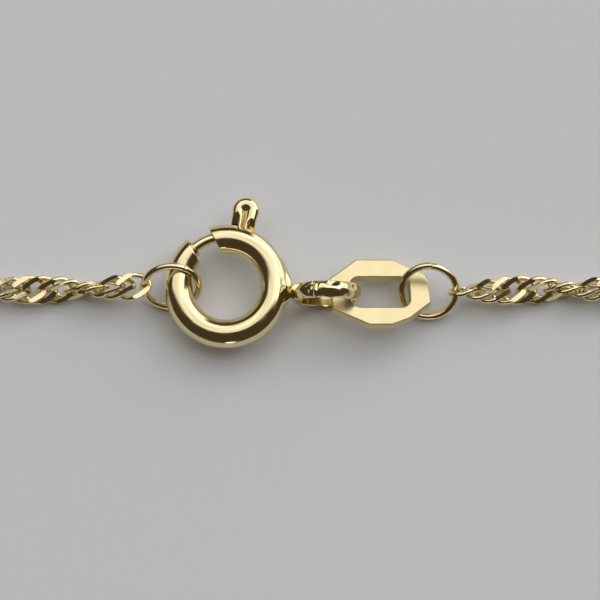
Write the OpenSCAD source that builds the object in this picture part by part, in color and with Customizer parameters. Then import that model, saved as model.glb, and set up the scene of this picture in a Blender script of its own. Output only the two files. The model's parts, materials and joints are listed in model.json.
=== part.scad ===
// Necklace in yellow gold: a twisted curb chain, closed at the front by a
// spring ring and an octagonal end plate, lying on a flat surface.
// Millimetres. +Z is up, the surface is z = 0, the clasp is at the front (-Y),
// and the origin is the middle of the loop.

/* [Chain] */
// Width of the twisted chain
chain_w = 1.4; // [1:0.1:2.4]
// Gap between a jump ring and the end of the chain
chain_gap = 0.12; // [0.05:0.01:0.3]

/* [Spring ring] */
// Outer diameter of the ring
ring_od = 6; // [5:0.1:8]
// Diameter of the tube
tube_d = 1.38; // [1.2:0.02:1.6]
// Wall of the tube
tube_wall = 0.18; // [0.12:0.01:0.22]
// Width of the gate gap
gate_w = 1.15; // [0.8:0.05:1.5]
// Place of the gate gap on the ring, in degrees from the eyelet's side
gate_angle = 118; // [110:1:130]
// Height of the collar at the receiving end of the gate
collar_h = 0.12; // [0.08:0.01:0.2]
// Width of the collar around the bolt
collar_w = 0.1; // [0.06:0.01:0.14]
// How far the back of the ring stands higher than its front, in degrees
ring_lean = 3; // [0:0.5:5]

/* [Bolt and trigger] */
// Diameter of the bolt
bolt_d = 0.52; // [0.4:0.02:0.56]
// How far the bolt lies outside the middle of the tube
bolt_out = 0.12; // [0:0.01:0.15]
// How far the bolt's nose reaches past the gate, in degrees
bolt_reach = 8; // [6:1:10]
// Place of the trigger on the ring, in degrees
trigger_angle = 74.5; // [72:0.5:77]
// Wire of the trigger's loop
trigger_wire = 0.5; // [0.44:0.02:0.5]
// Outer width of the trigger's loop
trigger_w = 1.3; // [1.2:0.05:1.4]
// Height of the trigger above the ring
trigger_h = 1.42; // [1.3:0.02:1.7]
// Distance between the middles of the trigger's two legs, where they meet the bolt
leg_gap = 0.52; // [0.52:0.02:0.6]
// Lean of the trigger away from the radius, in degrees
trigger_lean = 5; // [0:1:8]

/* [Eyelet] */
// Outer diameter of the eyelet
eye_od = 3.46; // [3.2:0.02:4]
// Width of the eyelet's band
eye_w = 0.8; // [0.6:0.02:0.9]
// Thickness of the eyelet's band
eye_t = 0.38; // [0.3:0.02:0.42]
// Rise of the band's domed outside
eye_dome = 0.18; // [0.1:0.02:0.24]
// Place of the eyelet on the ring, in degrees
eye_angle = -5; // [-8:1:0]
// Gap between the ring and the eyelet that the solder fills
neck_len = 0.06; // [0.04:0.01:0.2]
// Diameter of the soldered neck
neck_d = 0.8; // [0.6:0.05:1]

/* [End plate] */
// Length of the plate
plate_l = 4.85; // [4.6:0.05:6]
// Width of the plate
plate_w = 3.45; // [3:0.05:4]
// Thickness of the plate
plate_t = 0.6; // [0.4:0.05:0.7]
// Length of the hole
hole_l = 2.88; // [2.7:0.02:3.2]
// Width of the hole
hole_w = 1.58; // [1.5:0.02:1.8]
// Corner radius of the hole
hole_r = 0.45; // [0.2:0.05:0.7]
// How far the front edge of the plate is raised, in degrees
plate_pitch = 13; // [8:1:15]
// How far the eyelet's end of the plate is raised, in degrees
plate_rise = 8; // [5:1:10]

/* [Jump rings] */
// Outer diameter of the jump rings
jump_od = 3; // [3:0.05:4]
// Wire of the jump rings
jump_wire = 0.34; // [0.28:0.02:0.36]
// Least tilt of the jump ring in the spring ring, in degrees
left_lean = 55; // [55:1:60]
// Tilt of the jump ring in the end plate, in degrees
right_tilt = 36; // [34:1:39]

/* [Hidden] */
$fn = 64;

// Clearances: left jump ring to spring ring, spring ring to bolt, and eyelet
// to surface
catch_gap = 0.13;
run_gap = 0.05;
rest_gap = 0.03;

// Angles on the ring, in degrees: the wall behind the bolt's nose, the hole
// for the nose, the root of the collar, and the bolt behind its trigger
wall_turn = 2;
hole_turn = 4;
root_turn = 6;
tail_turn = 14;

// Half sizes
tube_r = tube_d / 2;
ring_r = (ring_od - tube_d) / 2;
bolt_r = bolt_d / 2;
bolt_path = ring_r + bolt_out;
wire_r = jump_wire / 2;
jump_r = jump_od / 2 - wire_r;
jump_in = jump_r - wire_r;
eye_r = eye_od / 2;
eye_in = eye_r - eye_t;
eye_far = ring_r + tube_r + neck_len + eye_r;

// Route of the chain from the right jump ring to the left one, seen from
// above, with y from the clasp's line: the right half, in mm
half_route = [
    [14, 0], [21, 0.7], [34, 4.5], [50, 14.5], [62.5, 30], [69.5, 49], [70.5, 70],
    [66.5, 91], [57, 111], [42, 126.5], [22, 136]
];
loop_depth = 139;
chain_rings = 79;
chain_sides = 8;

// Outline of the end plate, as shares of its length and width
plate_outline = [
    [-0.22, 0.5], [0.14, 0.5], [0.45, 0.28], [0.49, 0.16], [0.5, -0.16],
    [0.28, -0.4], [0.1, -0.5], [-0.13, -0.5], [-0.48, -0.26], [-0.5, 0.2]
];

// Left jump ring: it lies on the surface, and stands steeper where a thick
// tube needs the room
left_x = -6.17;
left_room = 0.31;
left_tilt = max(left_lean, asin(tube_r / (jump_in - left_room)));
left_z = wire_r + jump_r * sin(left_tilt);

// Spring ring: its tube runs through the left jump ring, and its eyelet
// stands on the surface
ring_tilt = asin((eye_r + rest_gap - left_z) / (ring_r + eye_far));
ring_x = left_x + jump_in - catch_gap - tube_r + ring_r * cos(ring_tilt);
ring_y = -0.03;
ring_z = left_z + ring_r * sin(ring_tilt);

// The clasp's line: the whole necklace's box is centred on the origin
front_y = (ring_od / 2 - ring_y - loop_depth - chain_w / 2) / 2;

// Eyelet, in the frame of the clasp row
eye_x = ring_x + eye_far * cos(eye_angle) * cos(ring_tilt);
eye_z = ring_z + eye_far * cos(eye_angle) * sin(ring_tilt);

// End plate: one end of its hole hangs in the eyelet
plate_slack = 0.22;
plate_drop = 0.28;
plate_yaw = 1.7;
plate_x = eye_x + eye_in - plate_slack + hole_l / 2;
plate_y = -0.39;
plate_z = eye_z - plate_drop - hole_l / 2 * sin(plate_rise);

// Right jump ring: it passes through the other end of the hole, and hangs
// there or lies on the surface
right_slack = 0.23;
right_seat = 0.014;
right_x = plate_x + hole_l / 2 - right_slack + jump_in;
right_y = -0.2;
right_z = max(wire_r + jump_r * sin(right_tilt), plate_z - hole_l / 2 * sin(plate_rise) + right_seat);

// Bolt: angles of its nose, its tail and its full travel
gate_half = asin(gate_w / 2 / bolt_path);
nose_angle = gate_angle + gate_half + bolt_reach;
tail_angle = trigger_angle - tail_turn;
bolt_travel = nose_angle - (gate_angle - gate_half);

// Trigger: the loop's middle, and the slot that it runs in
loop_r = (trigger_w - trigger_wire) / 2;
loop_at = ring_r + tube_r + trigger_h - trigger_w / 2;
leg_side = leg_gap / 2 + (loop_r - leg_gap / 2) * (ring_r + tube_r - bolt_path) / (loop_at - bolt_path);
leg_half = asin((leg_side + trigger_wire / 2 + 2 * run_gap) / (ring_r + tube_r));
slot_h = trigger_wire + 2 * run_gap;
slot_from = trigger_angle - bolt_travel - leg_half;
slot_angle = bolt_travel + 2 * leg_half;

module in_row(x, y, z) translate([x, front_y + y, z]) children();

module in_ring() in_row(ring_x, ring_y, ring_z) rotate([ring_lean, -ring_tilt, 0]) children();

// A bent round bar: part of a ring of the given radius, from one angle on
module bent_bar(path_r, bar_r, from, turn) {
    rotate([0, 0, from]) rotate_extrude(angle = turn) translate([path_r, 0]) circle(bar_r);
}

module gate_block() {
    rotate([0, 0, gate_angle]) translate([0, -gate_w / 2, -ring_od / 2]) cube([ring_od, gate_w, ring_od]);
}

module collar() {
    wall_angle = gate_angle + asin(gate_w / 2 / ring_r);
    rise = asin(collar_h / ring_r);
    bent_bar(bolt_path, bolt_r + run_gap + collar_w, wall_angle - rise, rise + root_turn);
}

module eyelet() {
    crown_r = (pow(eye_w / 2, 2) + pow(eye_dome, 2)) / (2 * eye_dome);
    rotate([90, 0, 0]) rotate_extrude() intersection() {
        translate([eye_in, -eye_w / 2]) square([eye_t, eye_w]);
        translate([eye_r - crown_r, 0]) circle(crown_r);
    }
}

module clasp_ring() color("goldenrod") in_ring() {
    difference() {
        union() {
            difference() {
                rotate_extrude() translate([ring_r, 0]) circle(tube_r);
                gate_block();
            }
            collar();
            rotate([0, 0, eye_angle]) translate([ring_r + tube_r - tube_wall / 2, 0, 0])
                rotate([0, 90, 0]) cylinder(h = neck_len + eye_t / 2 + tube_wall / 2, d = neck_d);
            translate([eye_far * cos(eye_angle), eye_far * sin(eye_angle), 0]) eyelet();
        }
        hollow_from = nose_angle + wall_turn;
        bent_bar(ring_r, tube_r - tube_wall, hollow_from, gate_angle + 360 - hollow_from);
        bent_bar(bolt_path, bolt_r + run_gap, gate_angle, nose_angle + hole_turn - gate_angle);
        rotate([0, 0, slot_from]) rotate_extrude(angle = slot_angle)
            translate([ring_r, -slot_h / 2]) square([tube_d, slot_h]);
    }
}

module trigger_leg(side) {
    foot = [bolt_path, side * leg_gap / 2];
    lean = atan2(side * loop_r - foot[1], loop_at - foot[0]);
    leg_l = norm([loop_at - foot[0], side * loop_r - foot[1]]);
    translate([foot[0], foot[1], 0]) rotate([0, 90, lean]) cylinder(h = leg_l, d = trigger_wire);
}

module clasp_bolt() color("goldenrod") in_ring() {
    bent_bar(bolt_path, bolt_r, tail_angle, nose_angle - tail_angle);
    foot_x = ring_r + tube_r;
    rotate([0, 0, trigger_angle]) translate([foot_x, 0]) rotate(trigger_lean) translate([-foot_x, 0]) {
        trigger_leg(-1);
        trigger_leg(1);
        translate([loop_at, 0, 0]) bent_bar(loop_r, trigger_wire / 2, -90, 180);
        for (side = [-1, 1]) translate([loop_at, side * loop_r, 0]) sphere(trigger_wire / 2);
    }
}

module end_plate() color("khaki")
    in_row(plate_x, plate_y, plate_z) rotate([-plate_pitch, plate_rise, plate_yaw])
    translate([0, 0, -plate_t / 2]) linear_extrude(plate_t) difference() {
        polygon([for (p = plate_outline) [p[0] * plate_l, p[1] * plate_w]]);
        plate_hole();
    }

module plate_hole() {
    square([hole_l - 2 * hole_r, hole_w], center = true);
    square([hole_l, hole_w - 2 * hole_r], center = true);
    for (sx = [-1, 1], sy = [-1, 1])
        translate([sx * (hole_l / 2 - hole_r), sy * (hole_w / 2 - hole_r)]) circle(hole_r);
}

module jump_ring(x, y, z, tilt) color("gold")
    in_row(x, y, z) rotate([tilt, 0, 0]) rotate_extrude() translate([jump_r, 0]) circle(wire_r);

module jump_ring_left() jump_ring(left_x, 0, left_z, left_tilt);

module jump_ring_right() jump_ring(right_x, right_y, right_z, right_tilt);

// The whole route: the chosen points, mirrored for the left half, between
// ends that stop just short of the two jump rings
route = concat(
    [[right_x + jump_od / 2 + chain_gap, 0]],
    half_route,
    [[0, loop_depth]],
    [for (i = [len(half_route) - 1:-1:0]) [-half_route[i][0], half_route[i][1]]],
    [[left_x - jump_od / 2 - chain_gap, 0]]
);

function route_at(i) = route[max(0, min(len(route) - 1, i))];

function smooth(a, b, c, d, t) =
    0.5 * (2 * b + (c - a) * t + (2 * a - 5 * b + 4 * c - d) * t * t + (3 * b - a - 3 * c + d) * t * t * t);

function route_point(u) =
    let (i = min(len(route) - 2, floor(u)))
    smooth(route_at(i - 1), route_at(i), route_at(i + 1), route_at(i + 2), u - i);

function route_side(u) =
    let (step = 0.01, d = route_point(min(len(route) - 1, u + step)) - route_point(max(0, u - step)))
    [d[1], -d[0]] / norm(d);

function chain_section(u) =
    let (
        mid = route_point(u),
        side = route_side(u),
        corner_r = chain_w / 2 / cos(180 / chain_sides)
    )
    [for (k = [0:chain_sides - 1])
        let (turn = (k + 0.5) * 360 / chain_sides)
        [
            mid[0] + side[0] * corner_r * cos(turn),
            front_y + mid[1] + side[1] * corner_r * cos(turn),
            chain_w / 2 + corner_r * sin(turn)
        ]];

module chain() color("gold") {
    last = chain_rings - 1;
    points = [for (j = [0:last]) each chain_section(j / last * (len(route) - 1))];
    walls = [for (j = [0:last - 1], k = [0:chain_sides - 1])
        let (a = j * chain_sides + k, b = j * chain_sides + (k + 1) % chain_sides)
        [a, a + chain_sides, b + chain_sides, b]];
    near_end = [for (k = [0:chain_sides - 1]) k];
    far_end = [for (k = [chain_sides - 1:-1:0]) last * chain_sides + k];
    polyhedron(points, concat(walls, [near_end, far_end]), convexity = 4);
}

clasp_ring();
clasp_bolt();
end_plate();
jump_ring_left();
jump_ring_right();
chain();
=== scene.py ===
# Gold necklace lying on a table: a twisted chain, closed at the front by a spring
# ring that hangs on an octagonal end plate. Sizes in the dictionaries are in millimetres.
import json
import math
import bmesh
import bpy
import numpy as np
from mathutils import Matrix, Vector


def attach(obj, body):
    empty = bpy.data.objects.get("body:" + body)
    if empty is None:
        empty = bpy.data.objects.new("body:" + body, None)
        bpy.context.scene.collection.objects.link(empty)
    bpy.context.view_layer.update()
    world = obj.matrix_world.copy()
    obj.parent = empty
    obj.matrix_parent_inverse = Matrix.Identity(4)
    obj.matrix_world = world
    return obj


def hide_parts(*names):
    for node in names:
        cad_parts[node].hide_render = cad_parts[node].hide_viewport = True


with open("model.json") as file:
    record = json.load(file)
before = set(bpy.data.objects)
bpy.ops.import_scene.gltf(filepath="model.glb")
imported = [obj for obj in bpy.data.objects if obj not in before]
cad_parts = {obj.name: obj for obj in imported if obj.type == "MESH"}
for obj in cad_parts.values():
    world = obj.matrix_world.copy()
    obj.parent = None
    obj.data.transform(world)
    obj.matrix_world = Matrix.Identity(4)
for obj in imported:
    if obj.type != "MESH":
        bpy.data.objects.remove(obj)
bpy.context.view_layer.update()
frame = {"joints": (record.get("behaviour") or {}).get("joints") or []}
mm = 0.001
claspLine = -68.335   # y of the clasp's row
scene = bpy.context.scene


# Small helpers
def linear(code):
    parts = [int(code[i:i + 2], 16) / 255 for i in (1, 3, 5)]
    return [p / 12.92 if p <= 0.04045 else ((p + 0.055) / 1.055) ** 2.4 for p in parts] + [1]


def addNode(tree, kind, sockets=None, **settings):
    node = tree.nodes.new(kind)
    for name, value in settings.items():
        setattr(node, name, value)
    for name, value in (sockets or {}).items():
        if isinstance(value, bpy.types.NodeSocket):
            tree.links.new(value, node.inputs[name])
        else:
            node.inputs[name].default_value = value
    return node


def smoothStep(x):
    x = min(1, max(0, x))
    return x * x * (3 - 2 * x)


def polar(distance, degrees, height=0):
    turn = math.radians(degrees)
    return (distance * math.cos(turn), distance * math.sin(turn), height)


def loft(rows, skins, closed=False, skip=()):
    # rows are closed loops of equally many points; skins give each point's place on the unrolled surface;
    # skip holds the (row, column) faces to leave open
    count = len(rows[0])
    points = [p for row in rows for p in row]
    skin = [s for row in skins for s in row]
    faces = []
    for i in range(len(rows) if closed else len(rows) - 1):
        for j in range(count):
            if (i, j) not in skip:
                k, after = (j + 1) % count, (i + 1) % len(rows)
                faces.append([i * count + j, i * count + k, after * count + k, after * count + j])
    if not closed:
        for row, base in ((0, 0), (-1, (len(rows) - 1) * count)):
            points.append(tuple(np.mean(rows[row], axis=0)))
            skin.append(tuple(np.mean(skins[row], axis=0)))
            faces.extend([[base + j, len(points) - 1, base + (j + 1) % count] for j in range(count)])
    return points, faces, skin


def wire(path, radii, sides, closed=False):
    # a round wire along a path that lies in a plane of constant z
    path = np.array(path, float)
    rows, skins, run = [], [], 0
    for i, here in enumerate(path):
        if closed:
            along = path[(i + 1) % len(path)] - path[i - 1]
        else:
            along = path[min(i + 1, len(path) - 1)] - path[max(i - 1, 0)]
        along /= np.linalg.norm(along)
        side = np.cross(along, (0, 0, 1))
        side /= np.linalg.norm(side)
        top = np.cross(side, along)
        run += float(np.linalg.norm(here - path[i - 1])) if i else 0
        turns = np.linspace(0, 2 * math.pi, sides, endpoint=False)
        rows.append([tuple(here + radii[i] * (math.cos(t) * side + math.sin(t) * top)) for t in turns])
        skins.append([(radii[i] * math.cos(t), radii[i] * math.sin(t), run) for t in turns])
    return loft(rows, skins, closed=closed)


def finishMesh(mesh, sharp):
    grown = bmesh.new()
    grown.from_mesh(mesh)
    bmesh.ops.recalc_face_normals(grown, faces=grown.faces)
    grown.to_mesh(mesh)
    grown.free()
    mesh.shade_smooth()
    mesh.set_sharp_from_angle(angle=math.radians(sharp))


def makePiece(name, shells, place, material, sharp=35):
    # shells are closed surfaces in millimetres; place puts them in the necklace's frame
    points, faces, skin = [], [], []
    for shellPoints, shellFaces, shellSkin in shells:
        faces.extend([[len(points) + i for i in face] for face in shellFaces])
        points.extend(shellPoints)
        skin.extend(shellSkin)
    mesh = bpy.data.meshes.new(name)
    mesh.from_pydata([(place @ Vector(p)) * mm for p in points], [], faces)
    mesh.attributes.new("skin", "FLOAT_VECTOR", "POINT").data.foreach_set("vector", np.array(skin, float).ravel())
    finishMesh(mesh, sharp)
    mesh.materials.append(material)
    piece = bpy.data.objects.new(name, mesh)
    scene.collection.objects.link(piece)
    return piece


def declare(piece, slot, body, *nodes):
    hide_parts(*nodes)
    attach(piece, body)


# Camera, floor and lights
view = {"widthMm": 28.8, "elevation": 78, "distance": 0.6, "aim": (0, claspLine - 0.54, 0.7)}
camera = bpy.data.objects.new("camera", bpy.data.cameras.new("camera"))
scene.collection.objects.link(camera)
tilt = math.radians(view["elevation"])
camera.location = Vector(view["aim"]) * mm + Vector((0, -math.cos(tilt), math.sin(tilt))) * view["distance"]
camera.rotation_euler = (math.pi / 2 - tilt, 0, 0)
camera.data.sensor_width = 36
camera.data.lens = 36 * view["distance"] / (view["widthMm"] * mm)
camera.data.clip_start = 0.01
camera.data.clip_end = 50
scene.camera = camera
scene.view_settings.view_transform = "Standard"


# the lamps' cloth: folds along a side, its darkest and brightest share of the light, and the faded border
cloth = {"folds": 3.5, "darkest": 0.55, "brightest": 1.15, "border": 0.12}


def softbox(name, place, turn, width, height, radiance, falloff):
    # a flat lamp whose cloth fades towards its edges; the place is in metres from the clasp,
    # the light leaves along its local -Z, and the falloff is the share of brightness left at its local +Y edge
    lamp = bpy.data.lights.new(name, "AREA")
    lamp.shape = "RECTANGLE"
    lamp.size, lamp.size_y = width, height
    lamp.energy = radiance * math.pi * width * height
    lamp.use_nodes = True
    tree = lamp.node_tree
    spot = addNode(tree, "ShaderNodeNewGeometry").outputs["Parametric"]
    sides = addNode(tree, "ShaderNodeSeparateXYZ", {0: spot})
    dimmed = addNode(tree, "ShaderNodeMapRange", {"Value": sides.outputs["Y"], "To Min": 1, "To Max": falloff})
    folds = addNode(tree, "ShaderNodeTexNoise", {"Vector": spot, "Scale": cloth["folds"], "Detail": 4})
    folded = addNode(tree, "ShaderNodeMapRange", {
        "Value": folds.outputs["Fac"], "From Min": 0.35, "From Max": 0.65,
        "To Min": cloth["darkest"], "To Max": cloth["brightest"]})
    strength = addNode(tree, "ShaderNodeMath", {0: folded.outputs["Result"], 1: dimmed.outputs["Result"]},
                       operation="MULTIPLY").outputs[0]
    for side in ("X", "Y"):
        middle = addNode(tree, "ShaderNodeMath", {0: sides.outputs[side], 1: 0.5}, operation="SUBTRACT")
        away = addNode(tree, "ShaderNodeMath", {0: middle.outputs[0]}, operation="ABSOLUTE")
        inner = 0.5 - cloth["border"]
        fade = addNode(tree, "ShaderNodeMapRange", {"Value": away.outputs[0], "From Min": 0.5, "From Max": inner},
                       interpolation_type="SMOOTHSTEP")
        strength = addNode(tree, "ShaderNodeMath", {0: fade.outputs["Result"], 1: strength},
                           operation="MULTIPLY").outputs[0]
    tree.links.new(strength, tree.nodes["Emission"].inputs["Strength"])
    box = bpy.data.objects.new(name, lamp)
    box.location = Vector(place) + Vector((0, claspLine * mm, 0))
    box.rotation_euler = [math.radians(t) for t in turn]
    box.visible_camera = False
    scene.collection.objects.link(box)


# one overhead and to the back that dims towards the left, one upright at the back on the right,
# and a small lamp low in front
softbox("softboxAbove", (0, 0.92, 1.2), (0, 0, 82), 2.2, 3.0, 2.05, 0.45)
softbox("softboxRight", (1.19, 1.07, 0.7), (90, 0, 132), 1.9, 1.7, 1.75, 0.9)
softbox("lampFront", (0, -1.5, 0.12), (90, 0, 0), 0.3, 0.12, 4, 1)

world = bpy.data.worlds.new("studio")
scene.world = world
world.use_nodes = True
world.node_tree.nodes["Background"].inputs["Color"].default_value = linear("#FFE8B8")
world.node_tree.nodes["Background"].inputs["Strength"].default_value = 0.055

floorMaterial = bpy.data.materials.new("paintedTable")
floorMaterial.use_nodes = True
shader = floorMaterial.node_tree.nodes["Principled BSDF"]
shader.inputs["Base Color"].default_value = linear("#ECEDF0")
shader.inputs["Roughness"].default_value = 0.9
shader.inputs["Specular IOR Level"].default_value = 0.2
floorMesh = bpy.data.meshes.new("floor")
half = 6
floorMesh.from_pydata([(-half, -half, 0), (half, -half, 0), (half, half, 0), (-half, half, 0)], [], [(0, 1, 2, 3)])
floorMesh.materials.append(floorMaterial)
floor = bpy.data.objects.new("floor", floorMesh)
scene.collection.objects.link(floor)
print("camera, floor and lights are in")


# Gold
def goldMaterial(name, colours, roughness, grain, onSkin=True):
    # colours vary softly over a millimetre or so; grain is a list of (waves per millimetre, depth in micrometres)
    material = bpy.data.materials.new(name)
    material.use_nodes = True
    tree = material.node_tree
    shader = tree.nodes["Principled BSDF"]
    shader.inputs["Metallic"].default_value = 1
    if onSkin:
        place = addNode(tree, "ShaderNodeAttribute", attribute_name="skin").outputs["Vector"]
    else:
        inMetres = addNode(tree, "ShaderNodeTexCoord").outputs["Object"]
        place = addNode(tree, "ShaderNodeVectorMath", {0: inMetres, "Scale": 1000}, operation="SCALE").outputs[0]
    tone = addNode(tree, "ShaderNodeTexNoise", {"Vector": place, "Scale": 0.9, "Detail": 2})
    mixed = addNode(tree, "ShaderNodeMix", data_type="RGBA")
    for socket in mixed.inputs:
        if socket.name == "Factor" and socket.type == "VALUE":
            tree.links.new(tone.outputs["Fac"], socket)
        elif socket.type == "RGBA":
            socket.default_value = linear(colours[0] if socket.name == "A" else colours[1])
    colour = next(s for s in mixed.outputs if s.type == "RGBA")
    tree.links.new(colour, shader.inputs["Base Color"])
    blotches = addNode(tree, "ShaderNodeTexNoise", {"Vector": place, "Scale": 2.2, "Detail": 4})
    spread = addNode(tree, "ShaderNodeMapRange", {
        "Value": blotches.outputs["Fac"], "From Min": 0.3, "From Max": 0.7,
        "To Min": roughness[0], "To Max": roughness[1]})
    tree.links.new(spread.outputs["Result"], shader.inputs["Roughness"])
    normal = None
    for waves, depth in grain:
        squeezed = addNode(tree, "ShaderNodeMapping", {"Vector": place, "Scale": waves})
        height = addNode(tree, "ShaderNodeTexNoise", {"Vector": squeezed.outputs["Vector"], "Scale": 1, "Detail": 3})
        sockets = {"Height": height.outputs["Fac"], "Distance": depth * 1e-6, "Strength": 1}
        if normal:
            sockets["Normal"] = normal
        normal = addNode(tree, "ShaderNodeBump", sockets).outputs["Normal"]
    tree.links.new(normal, shader.inputs["Normal"])
    return material


# drawn tube and wire, buffed by hand: a soft wave in the reflections, and fine streaks along the tube
polishedGold = goldMaterial("goldPolished", ("#EFE0B4", "#EBDAA8"), (0.05, 0.19),
                            [((1.2, 1.2, 0.8), 6), ((14, 14, 0.5), 2.4)])
# stamped plate, tumbled in grit: a fine even grain, so it glows without mirroring anything
satinGold = goldMaterial("goldTumbled", ("#DDCFA6", "#D4C598"), (0.3, 0.38), [((2, 2, 2), 6), ((18, 18, 18), 3)])
# wire links cut with a diamond: mirror-flat facets
cutGold = goldMaterial("goldDiamondCut", ("#EFE0B4", "#EBDAA8"), (0.06, 0.16),
                       [((3.5, 3.5, 3.5), 3.5), ((18, 18, 18), 0.5)], onSkin=False)

# Spring ring; angles are in degrees round the ring, from the eyelet's side
ring = {
    "radius": 2.31, "tube": 0.69, "bore": 0.51, "lip": 0.6, "edge": 0.05,
    "gateAngle": 118, "gateWidth": 1.15,
    "slotFrom": 386.2, "slotTo": 447.4, "slotColumns": 6, "boreEnd": 376,
    "columns": 80, "rowTurn": 1.5, "blendTurn": 16,
    "boltPath": 2.43, "boltHole": 0.31, "holeEnd": 143.5,
    "collarWide": 0.42, "collarHigh": 0.12,
    # behind the lip the mouth narrows to this radius, at this many degrees in
    "throat": 0.54, "throatTurn": 6,
    # the solder's outline at the eyelet, as straight runs of (x, y); the tube follows a share of it,
    # where the cosine of the place on its section is over solderRim
    "solder": [(2.62, 1.49), (3.245, 0.17), (3.245, -0.62), (2.82, -0.98)], "solderShare": 0.75, "solderRim": 0.84,
    # the bead of solder on the tube's shoulder, with its place and half width in degrees round the ring
    # and in radians round the tube
    "bead": {"high": 0.06, "angle": -2, "wide": 3.2, "side": 0.6, "sideWide": 0.26},
}
eyelet = {
    "angle": -5, "far": 4.79, "outer": 1.73, "inner": 1.35, "width": 0.8, "dome": 0.18, "rows": 220,
    "dents": 80, "dentTurn": (5, 12), "dentDepth": (-0.075, 0.015), "dentReach": 0.32, "dentWide": 0.17, "dentSeed": 7,
    "seam": 104, "seamWide": 1.7, "seamHigh": 0.03,
}

joint = frame["joints"][0]
axis = Vector(joint["axis"]).normalized()
across = Vector((0, 1, 0)).cross(axis).normalized()
ringPlace = Matrix((across, axis.cross(across), axis)).transposed().to_4x4()
ringPlace.translation = Vector(joint["pos_m"]) / mm


def ringAngle(turn, distance, share):
    # near the gate the rows lie parallel to its walls, and further on they follow the radius
    offset = turn - ring["gateAngle"] if turn < 290 else turn - ring["gateAngle"] - 360
    flat = math.asin(max(-1, min(1, ring["radius"] * math.sin(math.radians(offset)) / distance)))
    return turn - share * (offset - math.degrees(flat))


def flareAt(turn):
    # how far the solder stands out of the ring's rim at this angle
    dx, dy = math.cos(math.radians(turn)), math.sin(math.radians(turn))
    for (x0, y0), (x1, y1) in zip(ring["solder"], ring["solder"][1:]):
        a0, a1 = math.degrees(math.atan2(y0, x0)), math.degrees(math.atan2(y1, x1))
        if a1 <= turn <= a0:
            reach = (x0 * (y1 - y0) - y0 * (x1 - x0)) / (dx * (y1 - y0) - dy * (x1 - x0))
            return max(0, reach - 3.0)
    return 0


def flare(turn):
    turn = (turn + 180) % 360 - 180
    return sum(flareAt(turn + k) for k in (-2.4, -1.2, 0, 1.2, 2.4)) / 5 if -30 < turn < 40 else 0


def boreSide(side):
    # the bore's columns are shifted so that the slot's two walls run parallel
    edge = 2 * math.pi * ring["slotColumns"] / ring["columns"]
    inner = math.asin(ring["tube"] * math.sin(edge) / ring["bore"])
    turn = (side + math.pi) % (2 * math.pi) - math.pi
    size = abs(turn)
    moved = size * inner / edge if size <= edge else inner + (size - edge) * (math.pi - inner) / (math.pi - edge)
    return math.copysign(moved, turn)


def tubeRow(turn, radius, share, swell=False):
    # one turn round the tube; swell adds the solder
    row, skin = [], []
    drop = ring["bead"]
    for j in range(ring["columns"]):
        side = 2 * math.pi * j / ring["columns"]
        if radius == ring["bore"]:
            side = boreSide(side)
        distance = ring["radius"] + radius * math.cos(side)
        angle = ringAngle(turn, distance, share)
        bead = 0
        if swell:
            onRim = smoothStep((math.cos(side) - ring["solderRim"]) / (1 - ring["solderRim"]))
            distance += ring["solderShare"] * flare(angle) * onRim
            off = ((angle - drop["angle"] + 180) % 360 - 180) / drop["wide"]
            bead = drop["high"] * math.exp(-off * off - ((side - drop["side"]) / drop["sideWide"]) ** 2)
            distance += bead * math.cos(side)
        row.append(polar(distance, angle, (radius + bead) * math.sin(side)))
        skin.append((radius * math.cos(side), radius * math.sin(side), ring["radius"] * math.radians(turn)))
    return row, skin


def boltHoleRow(turn, radius, count=None):
    count = count or ring["columns"]
    turns = [2 * math.pi * j / count for j in range(count)]
    # a turn of 25 degrees is about a millimetre along the bolt
    return ([polar(ring["boltPath"] + radius * math.cos(t), turn, radius * math.sin(t)) for t in turns],
            [(radius * math.cos(t), radius * math.sin(t), turn / 25) for t in turns])


def wallAngle():
    # where the bolt's path meets the receiving wall
    return ring["gateAngle"] + math.degrees(math.asin(ring["gateWidth"] / 2 / ring["boltPath"]))


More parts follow.
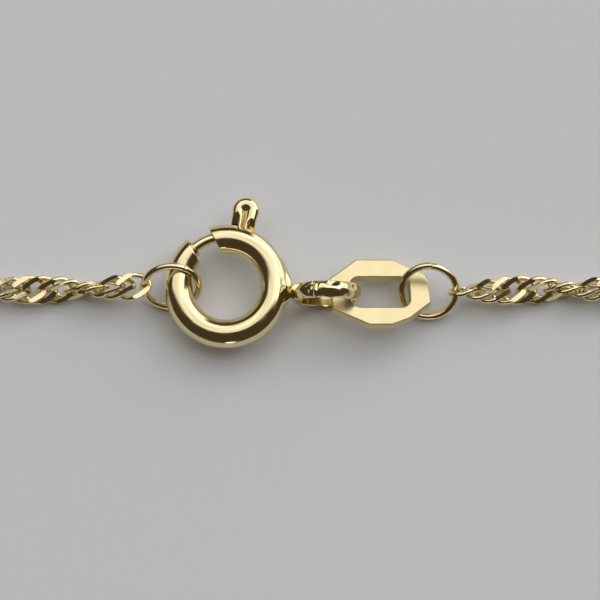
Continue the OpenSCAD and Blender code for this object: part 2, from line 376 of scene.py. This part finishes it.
def makeRing():
    gateTurn = math.degrees(math.asin(ring["gateWidth"] / 2 / ring["radius"]))
    start, end = ring["gateAngle"] + gateTurn, ring["gateAngle"] + 360 - gateTurn
    stops = [start, ring["boreEnd"], ring["slotFrom"], ring["slotTo"], end]
    turns = []
    for a, b in zip(stops, stops[1:]):
        steps = max(2, round((b - a) / ring["rowTurn"]))
        turns.extend([a + (b - a) * k / steps for k in range(steps)])
    turns.append(end)

    def share(turn):
        return 1 - smoothStep(min(turn - start, end - turn) / ring["blendTurn"])

    # outside, with the edges of both gate walls rounded
    inset = math.degrees(ring["edge"] / ring["radius"])
    steps = 4
    roundStart, roundEnd = [], []
    for k in range(steps + 1):
        a = math.pi / 2 * k / steps
        radius = ring["tube"] - ring["edge"] * (1 - math.cos(a))
        roundStart.append(tubeRow(start + inset * (1 - math.sin(a)), radius, 1))
        roundEnd.append(tubeRow(end - inset * (1 - math.sin(a)), radius, 1))
    outside = roundStart[::-1] + [tubeRow(t, ring["tube"], share(t), True) for t in turns[1:-1]] + roundEnd

    # receiving end: a flat wall with the bolt's hole, which ends blind
    half = ring["gateWidth"] / 2
    gateX, gateY = polar(1, ring["gateAngle"])[:2]
    holeMiddle = math.sqrt(ring["boltPath"] ** 2 - half ** 2)
    wallRow = []
    for j in range(ring["columns"]):
        side = 2 * math.pi * j / ring["columns"]
        x = holeMiddle + ring["boltHole"] * math.cos(side)
        wallRow.append((gateX * x - gateY * half, gateY * x + gateX * half, ring["boltHole"] * math.sin(side)))
    wallTurn = wallAngle()
    hole = [boltHoleRow(wallTurn + (ring["holeEnd"] - wallTurn) * k / 4, ring["boltHole"]) for k in range(4, 0, -1)]
    hole.append((wallRow, boltHoleRow(wallTurn, ring["boltHole"])[1]))

    # mouth: a thin lip, then the bore back past the slot
    throatAt = end - ring["throatTurn"]
    bore = [tubeRow(end, ring["lip"] + 0.02, 1), tubeRow(end - inset, ring["lip"], 1),
            tubeRow(throatAt, ring["throat"], share(throatAt))]
    boreTurns = [t for t in turns if ring["boreEnd"] <= t < throatAt - 2]
    bore.extend(tubeRow(t, ring["bore"], share(t)) for t in reversed(boreTurns))

    rows, skins = zip(*(hole + outside + bore))
    firstSlot, lastSlot = turns.index(ring["slotFrom"]), turns.index(ring["slotTo"])
    outRows = [len(hole) + len(roundStart) - 1 + i for i in range(firstSlot, lastSlot + 1)]
    lastRow = len(rows) - 1
    boreRows = [lastRow - boreTurns.index(turns[i]) for i in range(firstSlot, lastSlot + 1)]
    left, right = -ring["slotColumns"], ring["slotColumns"]
    columns = ring["columns"]
    skip = {(i, c % columns) for i in outRows[:-1] for c in range(left, right)}
    skip |= {(i, c % columns) for i in boreRows[1:] for c in range(left, right)}
    points, faces, skin = loft(rows, skins, skip=skip)

    # the slot's walls join the outside to the bore
    def index(row, column):
        return row * columns + column % columns

    for k in range(len(outRows) - 1):
        for column in (left, right):
            faces.append([index(outRows[k], column), index(outRows[k + 1], column),
                          index(boreRows[k + 1], column), index(boreRows[k], column)])
    for k in (0, -1):
        for column in range(left, right):
            faces.append([index(outRows[k], column), index(outRows[k], column + 1),
                          index(boreRows[k], column + 1), index(boreRows[k], column)])
    return points, faces, skin


def makeCollar():
    # two fine ridges round the bolt at the receiving end, as (distance from the wall, radius)
    inner, wide, high = ring["boltHole"], ring["collarWide"], ring["collarHigh"]
    profile = [(-0.1, wide - 0.01), (0.015, wide - 0.01), (0.03, wide + 0.02), (0.05, wide + 0.02),
               (0.065, wide - 0.03), (0.08, wide - 0.03), (0.095, wide), (high - 0.01, wide), (high, wide - 0.02),
               (high, inner + 0.02), (high - 0.02, inner), (-0.1, inner)]
    rows, skins = zip(*(boltHoleRow(wallAngle() - math.degrees(out / ring["boltPath"]), radius, 48)
                        for out, radius in profile))
    return loft(rows, skins, closed=True)


def makeEyelet():
    # a hoop of half-round band, hammered a little, with its butt joint at the top
    rng = np.random.default_rng(eyelet["dentSeed"])
    half, outer, inner = eyelet["width"] / 2, eyelet["outer"], eyelet["inner"]
    crown = (half ** 2 + eyelet["dome"] ** 2) / (2 * eyelet["dome"])
    section = []
    for k in range(15):
        y = half * (1 - 2 * k / 14) * 0.97
        section.append((outer - crown + math.sqrt(crown ** 2 - y ** 2), y))
    side = outer - eyelet["dome"]
    section += [(side - 0.03, -half), (inner + 0.04, -half), (inner, -half + 0.04), (inner, -half / 2), (inner, 0),
                (inner, half / 2), (inner, half - 0.04), (inner + 0.04, half), (side - 0.03, half)]
    reach = eyelet["dentReach"]
    dents = [(rng.uniform(0, 360), rng.uniform(-reach, reach), rng.uniform(*eyelet["dentTurn"]),
              rng.uniform(*eyelet["dentDepth"])) for _ in range(eyelet["dents"])]
    middle = Vector(polar(eyelet["far"], eyelet["angle"]))
    rows, skins = [], []
    for i in range(eyelet["rows"]):
        turn = 360 * i / eyelet["rows"]
        row, skin = [], []
        for distance, y in section:
            if distance > side - 0.01:
                for at, place, width, depth in dents:
                    away = ((turn - at + 180) % 360 - 180) / width
                    distance += depth * math.exp(-away * away - ((y - place) / eyelet["dentWide"]) ** 2)
                # the joint stands up a little, with a dip on each side of it
                seam = ((turn - eyelet["seam"] + 180) % 360 - 180) / eyelet["seamWide"]
                distance += eyelet["seamHigh"] * (math.exp(-seam * seam) - math.exp(-(abs(seam) - 2.6) ** 2))
            swing = math.radians(turn)
            row.append(tuple(middle + Vector((distance * math.cos(swing), y, distance * math.sin(swing)))))
            skin.append((distance, y, 1.5 * swing))
        rows.append(row)
        skins.append(skin)
    return loft(rows, skins, closed=True)


springRing = makePiece("springRing", [makeRing(), makeCollar(), makeEyelet()], ringPlace, polishedGold)
declare(springRing, "polished_gold", "necklace", "clasp_ring")
print("spring ring is in")

# Bolt and trigger
bolt = {"wire": 0.26, "tail": 60.5, "nose": 139.7}
trigger = {
    "angle": 74.5, "lean": 5, "height": 1.42, "wide": 0.32, "high": 0.25, "bend": 0.33, "foot": 0.26,
    # the height where each leg starts to narrow, over what length and how much, and where its shelf ends below the rim
    "shoulder": (0.66, 0.44), "narrowing": 0.4, "narrowed": 0.52, "shelf": 0.14,
}


def makeBolt():
    path, radii = [], []
    for k in range(91):
        # the steps shorten towards the domed nose
        turn = bolt["tail"] + (bolt["nose"] - bolt["tail"]) * (1 - (1 - k / 90) ** 1.6)
        left = math.radians(bolt["nose"] - turn) * ring["boltPath"]
        path.append(polar(ring["boltPath"], turn))
        radii.append(bolt["wire"] * math.sqrt(max(0.004, 1 - max(0, 1 - left / bolt["wire"]) ** 2)))
    return wire(path, radii, 32)


def makeTrigger():
    # flattened wire bent into a loop, with its two legs pressed narrow above a low shelf at the foot
    rim = ring["radius"] + ring["tube"]
    middle = rim + trigger["height"] - trigger["bend"] - trigger["wide"]
    foot = ring["boltPath"]
    spread = trigger["bend"] - trigger["foot"]
    leg = [(foot + (middle - foot) * k / 30, trigger["foot"] + spread * k / 30) for k in range(30)]
    outline = leg + [(middle + trigger["bend"] * math.cos(a), trigger["bend"] * math.sin(a))
                     for a in np.linspace(math.pi / 2, -math.pi / 2, 41)] + [(x, -y) for x, y in leg[::-1]]
    path = np.array([(x, y, 0) for x, y in outline])
    rows, skins, run = [], [], 0
    for i, here in enumerate(path):
        along = path[min(i + 1, len(path) - 1)] - path[max(i - 1, 0)]
        along /= np.linalg.norm(along)
        outwards = np.cross((0, 0, 1), along)
        run += float(np.linalg.norm(here - path[i - 1])) if i else 0
        shoulder = trigger["shoulder"][0 if here[1] > 0 else 1]
        beyondRim = here[0] - rim
        press = smoothStep((shoulder + 0.1 - beyondRim) / trigger["narrowing"])
        # the legs thin out towards the foot, so that the gap between them stays the same
        wide = trigger["wide"] - (trigger["bend"] - abs(here[1]) if here[0] < middle else 0)
        narrow, shift = wide * (1 - trigger["narrowed"] * press), -wide * 0.5 * press
        row, skin = [], []
        for t in np.linspace(0, 2 * math.pi, 56, endpoint=False):
            side, z = wide * math.cos(t), trigger["high"] * math.sin(t)
            if z > 0:
                # the shelf slopes down towards the ring
                crown = trigger["high"] * math.sqrt(max(0, 1 - ((side - shift) / narrow) ** 2))
                climb = (beyondRim + trigger["shelf"]) / (shoulder + trigger["shelf"])
                z = max(crown, min(z, trigger["high"] * min(1, max(0.01, climb))))
            x, y, _ = here + side * outwards
            row.append((x, y, z))
            skin.append((side, z, run))
        rows.append(row)
        skins.append(skin)
    lean, turn = math.radians(trigger["lean"]), math.radians(trigger["angle"])
    placed = []
    for row in rows:
        here = []
        for x, y, z in row:
            # it leans about the rim, and is then turned to its place on the ring
            x, y = (rim + (x - rim) * math.cos(lean) - y * math.sin(lean),
                    (x - rim) * math.sin(lean) + y * math.cos(lean))
            here.append((x * math.cos(turn) - y * math.sin(turn), x * math.sin(turn) + y * math.cos(turn), z))
        placed.append(here)
    return loft(placed, skins)


springBolt = makePiece("springBolt", [makeBolt(), makeTrigger()], ringPlace, polishedGold)
declare(springBolt, "polished_gold", "bolt", "clasp_bolt")
print("bolt and trigger are in")

# Jump rings; the two ends of the wire step apart within a few degrees of the joint, which is a fine notch
jumpRing = {"radius": 1.33, "wire": 0.17, "sides": 28, "steps": 200, "crowding": 0.92,
            "stepTurn": 14, "stepRise": 0.6, "notchDepth": 0.24, "notchWide": 0.02}
jumpRings = [
    # name, node, place, tilt, angle of the joint, step between the wire's two ends
    ("jumpRingLeft", "jump_ring_left", (-6.17, claspLine, 1.25948), 55, 63, 0.012),
    ("jumpRingRight", "jump_ring_right", (6.174, claspLine - 0.2, 1.092), 36, 84, 0.022),
]


def makeJumpRing(jointTurn, step):
    path, radii = [], []
    for k in range(jumpRing["steps"]):
        # the rows crowd at the joint, where the wire's two ends meet
        u = 2 * math.pi * k / jumpRing["steps"]
        away = math.degrees(u - jumpRing["crowding"] * math.sin(u))
        away = away - 360 if away > 180 else away
        near = math.copysign(math.exp(-abs(away) / jumpRing["stepTurn"]), away) if away else 0
        arc = math.radians(away) * jumpRing["radius"]
        notch = jumpRing["notchDepth"] * math.exp(-(arc / jumpRing["notchWide"]) ** 2)
        radii.append(jumpRing["wire"] * (1 - notch))
        path.append(polar(jumpRing["radius"] + step * near, jointTurn + away, step * near * jumpRing["stepRise"]))
    return wire(path, radii, jumpRing["sides"], closed=True)


for name, node, place, lean, jointTurn, step in jumpRings:
    put = Matrix.Translation(place) @ Matrix.Rotation(math.radians(lean), 4, "X")
    declare(makePiece(name, [makeJumpRing(jointTurn, step)], put, polishedGold, 50), "polished_gold", "necklace", node)
print("jump rings are in")

# End plate
plate = {
    "place": (3.804, claspLine - 0.39, 1.278), "pitch": 13, "rise": 8, "yaw": 1.7,
    "length": 4.85, "width": 3.45, "thick": 0.6, "holeLength": 2.88, "holeWidth": 1.58, "holeCorner": 0.45,
    "edge": 0.07, "corner": 0.12,
    "outline": [(-0.22, 0.5), (0.14, 0.5), (0.45, 0.28), (0.49, 0.16), (0.5, -0.16),
                (0.28, -0.4), (0.1, -0.5), (-0.13, -0.5), (-0.48, -0.26), (-0.5, 0.2)],
}


def roundedOutline(corners, radius, per):
    # a polygon with each corner replaced by an arc
    out = []
    for i in range(len(corners)):
        before, here, after = (np.array(corners[(i + k) % len(corners)]) for k in (-1, 0, 1))
        a, b = (before - here) / np.linalg.norm(before - here), (after - here) / np.linalg.norm(after - here)
        half = math.acos(float(a @ b)) / 2
        middle = here + (a + b) / np.linalg.norm(a + b) * radius / math.sin(half)
        start, end = (here + side * radius / math.tan(half) - middle for side in (a, b))
        first, last = math.atan2(start[1], start[0]), math.atan2(end[1], end[0])
        turn = (last - first + math.pi) % (2 * math.pi) - math.pi
        out.extend([middle + radius * np.array((math.cos(first + turn * k / per), math.sin(first + turn * k / per)))
                    for k in range(per + 1)])
    return out


def evenly(outline, count):
    # points spaced evenly along a closed outline
    loop = np.array(outline + [outline[0]])
    lengths = np.concatenate([[0], np.cumsum(np.linalg.norm(np.diff(loop, axis=0), axis=1))])
    where = np.linspace(0, lengths[-1], count, endpoint=False)
    return np.stack([np.interp(where, lengths, loop[:, k]) for k in (0, 1)], axis=1)


def inwards(points, distance):
    # moves a closed loop to its left by a distance
    step = np.roll(points, -1, axis=0) - np.roll(points, 1, axis=0)
    step /= np.linalg.norm(step, axis=1)[:, None]
    return points + distance * np.stack([-step[:, 1], step[:, 0]], axis=1)


def makePlate():
    corners = [(x * plate["length"], y * plate["width"]) for x, y in plate["outline"]][::-1]
    outside = evenly(roundedOutline(corners, plate["corner"], 6), 300)
    halfL, halfW = plate["holeLength"] / 2, plate["holeWidth"] / 2
    hole = evenly(roundedOutline([(halfL, halfW), (-halfL, halfW), (-halfL, -halfW), (halfL, -halfW)],
                                 plate["holeCorner"], 12), 6000)
    # the hole's points lie on the same rays as the outside's
    holeTurns, outTurns = (np.arctan2(loop[:, 1], loop[:, 0]) for loop in (hole, outside))
    inside = hole[[int(np.argmin(np.abs((holeTurns - t + math.pi) % (2 * math.pi) - math.pi))) for t in outTurns]]
    half, edge = plate["thick"] / 2, plate["edge"]
    innerEdge, outerEdge = inwards(inside, -edge), inwards(outside, edge)
    quarter = [math.pi / 2 * k / 5 for k in range(6)]
    rows = []

    def level(loop, height):
        rows.append([(float(x), float(y), float(height)) for x, y in loop])

    # round the section: the top from the hole outwards, the rim, the underside and the hole's wall
    for sign, shares in ((1, (0.03, 0.2, 0.5, 0.8, 0.97)), (-1, (0.97, 0.5, 0.03))):
        wall, depth = (outside, edge) if sign > 0 else (inside, -edge)
        for share in shares:
            level(innerEdge * (1 - share) + outerEdge * share, sign * half)
        for a in quarter:
            level(inwards(wall, depth * (1 - math.sin(a))), sign * (half - edge * (1 - math.cos(a))))
        for a in reversed(quarter):
            level(inwards(wall, depth * (1 - math.sin(a))), -sign * (half - edge * (1 - math.cos(a))))
    return loft(rows, rows, closed=True)


turnPlate = (Matrix.Rotation(math.radians(plate["yaw"]), 4, "Z") @ Matrix.Rotation(math.radians(plate["rise"]), 4, "Y")
             @ Matrix.Rotation(math.radians(-plate["pitch"]), 4, "X"))
endPlate = makePiece("endPlate", [makePlate()], Matrix.Translation(plate["place"]) @ turnPlate, satinGold, 40)
declare(endPlate, "satin_gold", "necklace", "end_plate")
print("end plate is in")

# Chain
chain = {
    "route": [(14, 0), (21, 0.7), (34, 4.5), (50, 14.5), (62.5, 30), (69.5, 49), (70.5, 70), (66.5, 91), (57, 111),
              (42, 126.5), (22, 136)],
    "depth": 139, "rest": 0.7, "rightEnd": (8.06, 1.09), "leftEnd": (-8.06, 1.26), "rightShift": -0.2, "rise": 3,
    "pitch": 0.636, "pairShift": 0.07, "halfTwist": 5.184, "firstRoll": 107.5, "lastRoll": -6,
    "wire": 0.122, "cut": 0.15, "nearLinks": 24, "wobble": 2.5, "wobbleSeed": 3,
    # half of one link's middle line, which rises and falls as it goes round; the other half is the same, turned round
    "link": [(0.79, 0, -0.02), (0.72, 0.27, -0.08), (0.5, 0.49, -0.1), (0.2, 0.568, -0.06), (-0.08, 0.558, 0.05),
             (-0.3, 0.47, 0.1), (-0.66, 0.21, 0.1)],
}


def smoothCurve(points, per, closed=False):
    # Catmull-Rom; an open curve holds its end points
    points = np.array(points, float)
    count = len(points)

    def at(i):
        return points[i % count] if closed else points[max(0, min(count - 1, i))]

    out = []
    for i in range(count if closed else count - 1):
        a, b, c, d = (at(i + k) for k in (-1, 0, 1, 2))
        for k in range(per):
            t = k / per
            out.append(0.5 * (2 * b + (c - a) * t + (2 * a - 5 * b + 4 * c - d) * t * t
                              + (3 * b - a - 3 * c + d) * t ** 3))
    return np.array(out if closed else out + [points[-1]])


def routePoints():
    # from the right jump ring round the loop to the left one, rising at both ends to hang in them
    left = [(-x, y) for x, y in reversed(chain["route"])]
    points = smoothCurve([(chain["rightEnd"][0], 0)] + chain["route"] + [(0, chain["depth"])] + left
                         + [(chain["leftEnd"][0], 0)], 60)
    run = np.concatenate([[0], np.cumsum(np.linalg.norm(np.diff(points, axis=0), axis=1))])
    placed = []
    for (x, y), s in zip(points, run):
        fromRight, fromLeft = (1 - smoothStep(d / chain["rise"]) for d in (s, run[-1] - s))
        z = (chain["rest"] + fromRight * (chain["rightEnd"][1] - chain["rest"])
             + fromLeft * (chain["leftEnd"][1] - chain["rest"]))
        placed.append((x * mm, (y + claspLine + chain["rightShift"] * fromRight) * mm, z * mm))
    return placed, float(run[-1])


def makeLink(name, per, arc):
    # round wire with flats cut above and below: the section is an arc, a flat, an arc and a flat
    link = chain["link"] + [(-x, -y, z) for x, y, z in chain["link"]]
    path = smoothCurve(link, per, closed=True)
    r = chain["wire"]
    points, faces = [], []
    sides = 2 * (arc + 1)
    for i, here in enumerate(path):
        along = path[(i + 1) % len(path)] - path[i - 1]
        along /= np.linalg.norm(along)
        side = np.cross(along, (0, 0, 1))
        side /= np.linalg.norm(side)
        top = np.cross(side, along)
        # both cuts lie at a constant height, so there is a flat only where the wire rises to it
        upper, lower = (math.asin(max(-0.2, min(0.98, (chain["cut"] - sign * here[2]) / r))) for sign in (1, -1))
        turns = [-lower + (upper + lower) * k / arc for k in range(arc + 1)]
        turns += [math.pi - t for t in reversed(turns)]
        points.extend(tuple((here + r * (math.cos(t) * side + math.sin(t) * top)) * mm) for t in turns)
        for j in range(sides):
            k, after = (j + 1) % sides, (i + 1) % len(path)
            faces.append([i * sides + j, i * sides + k, after * sides + k, after * sides + j])
    mesh = bpy.data.meshes.new(name)
    mesh.from_pydata(points, [], faces)
    finishMesh(mesh, 36)
    return bpy.data.objects.new(name, mesh)


def linkTree(material):
    tree = bpy.data.node_groups.new("chainLinks", "GeometryNodeTree")
    for name, kind in (("Geometry", "NodeSocketGeometry"), ("Link", "NodeSocketObject"), ("Links", "NodeSocketInt"),
                       ("Pair shift", "NodeSocketFloat"), ("First roll", "NodeSocketFloat"),
                       ("Roll per link", "NodeSocketFloat"), ("Wobble", "NodeSocketFloat"), ("Seed", "NodeSocketInt"),
                       ("Near links", "NodeSocketInt"), ("Near", "NodeSocketBool")):
        tree.interface.new_socket(name, in_out="INPUT", socket_type=kind)
    tree.interface.new_socket("Geometry", in_out="OUTPUT", socket_type="NodeSocketGeometry")
    given = addNode(tree, "NodeGroupInput").outputs
    curve = addNode(tree, "GeometryNodeMeshToCurve", {"Mesh": given["Geometry"]})
    points = addNode(tree, "GeometryNodeResampleCurve", {"Curve": curve.outputs["Curve"], "Count": given["Links"]})
    tangent = addNode(tree, "GeometryNodeInputTangent").outputs["Tangent"]
    index = addNode(tree, "GeometryNodeInputIndex").outputs["Index"]
    # links sit in pairs: every other one is moved back, and the rest forward
    odd = addNode(tree, "ShaderNodeMath", {0: index, 1: 2.0}, operation="MODULO")
    sign = addNode(tree, "ShaderNodeMath", {0: odd.outputs[0], 1: 2.0, 2: -1.0}, operation="MULTIPLY_ADD")
    shift = addNode(tree, "ShaderNodeMath", {0: sign.outputs[0], 1: given["Pair shift"]}, operation="MULTIPLY")
    move = addNode(tree, "ShaderNodeVectorMath", {0: tangent, "Scale": shift.outputs[0]}, operation="SCALE")
    moved = addNode(tree, "GeometryNodeSetPosition", {"Geometry": points.outputs["Curve"], "Offset": move.outputs[0]})
    # each link lies along the chain and is rolled on from the last
    lying = addNode(tree, "FunctionNodeAxesToRotation", {"Primary Axis": tangent, "Secondary Axis": (0, 0, 1)},
                    primary_axis="X", secondary_axis="Z")
    roll = addNode(tree, "ShaderNodeMath", {0: index, 1: given["Roll per link"], 2: given["First roll"]},
                   operation="MULTIPLY_ADD")
    # the same face of every link looks up
    facing = addNode(tree, "ShaderNodeMath", {0: roll.outputs[0]}, operation="COSINE")
    under = addNode(tree, "ShaderNodeMath", {0: facing.outputs[0], 1: 0.0}, operation="LESS_THAN")
    upright = addNode(tree, "ShaderNodeMath", {0: under.outputs[0], 1: math.pi, 2: roll.outputs[0]},
                      operation="MULTIPLY_ADD")
    rolled = addNode(tree, "FunctionNodeAxisAngleToRotation", {"Axis": (1, 0, 0), "Angle": upright.outputs[0]})
    turned = addNode(tree, "FunctionNodeRotateRotation", {"Rotation": lying.outputs[0], "Rotate By": rolled.outputs[0]},
                     rotation_space="LOCAL")
    least = addNode(tree, "ShaderNodeVectorMath", {0: (-1, -1, -1), "Scale": given["Wobble"]}, operation="SCALE")
    most = addNode(tree, "ShaderNodeVectorMath", {0: (1, 1, 1), "Scale": given["Wobble"]}, operation="SCALE")
    loose = addNode(tree, "FunctionNodeRandomValue", {0: least.outputs[0], 1: most.outputs[0], "Seed": given["Seed"]},
                    data_type="FLOAT_VECTOR")
    wobble = addNode(tree, "FunctionNodeEulerToRotation", {0: loose.outputs[0]})
    final = addNode(tree, "FunctionNodeRotateRotation", {"Rotation": turned.outputs[0], "Rotate By": wobble.outputs[0]},
                    rotation_space="LOCAL")
    # near links are the ones at both ends, beside the clasp
    farEnd = addNode(tree, "ShaderNodeMath", {0: given["Links"], 1: given["Near links"]}, operation="SUBTRACT")
    past = addNode(tree, "FunctionNodeCompare", {"A": index, "B": given["Near links"]}, data_type="INT",
                   operation="GREATER_EQUAL")
    before = addNode(tree, "FunctionNodeCompare", {"A": index, "B": farEnd.outputs[0]}, data_type="INT",
                     operation="LESS_THAN")
    between = addNode(tree, "FunctionNodeBooleanMath", {0: past.outputs[0], 1: before.outputs[0]}, operation="AND")
    chosen = addNode(tree, "FunctionNodeBooleanMath", {0: between.outputs[0], 1: given["Near"]}, operation="XOR")
    shape = addNode(tree, "GeometryNodeObjectInfo", {"Object": given["Link"]}, transform_space="ORIGINAL")
    placed = addNode(tree, "GeometryNodeInstanceOnPoints", {
        "Points": moved.outputs["Geometry"], "Selection": chosen.outputs[0], "Instance": shape.outputs["Geometry"],
        "Rotation": final.outputs[0]})
    real = addNode(tree, "GeometryNodeRealizeInstances", {"Geometry": placed.outputs["Instances"]})
    dressed = addNode(tree, "GeometryNodeSetMaterial", {"Geometry": real.outputs["Geometry"], "Material": material})
    addNode(tree, "NodeGroupOutput", {0: dressed.outputs["Geometry"]})
    return tree


def growLinks(name, near, per, arc, tree, points, length):
    count = 2 * round(length / chain["pitch"] / 2) + 2
    # the twist is eased a little, so that both ends come out as they lie in the jump rings
    turned = chain["lastRoll"] - chain["firstRoll"]
    rolls = round((180 / chain["halfTwist"] * length - turned) / 180) * 180 + turned
    link = makeLink(name + "Link", per, arc)
    mesh = bpy.data.meshes.new(name)
    mesh.from_pydata(points, [(i, i + 1) for i in range(len(points) - 1)], [])
    carrier = bpy.data.objects.new(name + "Route", mesh)
    scene.collection.objects.link(carrier)
    modifier = carrier.modifiers.new("links", "NODES")
    modifier.node_group = tree
    sockets = {item.name: item.identifier for item in tree.interface.items_tree
               if item.item_type == "SOCKET" and item.in_out == "INPUT"}
    values = {"Link": link, "Links": count, "Pair shift": chain["pairShift"] * mm,
              "First roll": math.radians(chain["firstRoll"]), "Roll per link": math.radians(rolls / (count - 1)),
              "Wobble": math.radians(chain["wobble"]), "Seed": chain["wobbleSeed"],
              "Near links": chain["nearLinks"], "Near": near}
    for key, value in values.items():
        modifier[sockets[key]] = value
    evaluated = carrier.evaluated_get(bpy.context.evaluated_depsgraph_get())
    piece = bpy.data.objects.new(name, bpy.data.meshes.new_from_object(evaluated))
    scene.collection.objects.link(piece)
    bpy.data.objects.remove(carrier)
    bpy.data.objects.remove(link)
    print(name, count, "links in the chain,", len(piece.data.polygons), "faces here, pitch",
          round(length / (count - 1), 4), "roll", round(rolls / (count - 1), 2))
    return piece


points, length = routePoints()
tree = linkTree(cutGold)
# name, near the clasp or not, steps between two points of a link, and steps of its wire's round sides
for name, near, per, arc in (("chainByClasp", True, 5, 6), ("chainLoop", False, 1, 1)):
    declare(growLinks(name, near, per, arc, tree, points, length), "cut_gold", "necklace", "chain")
print("chain is in")
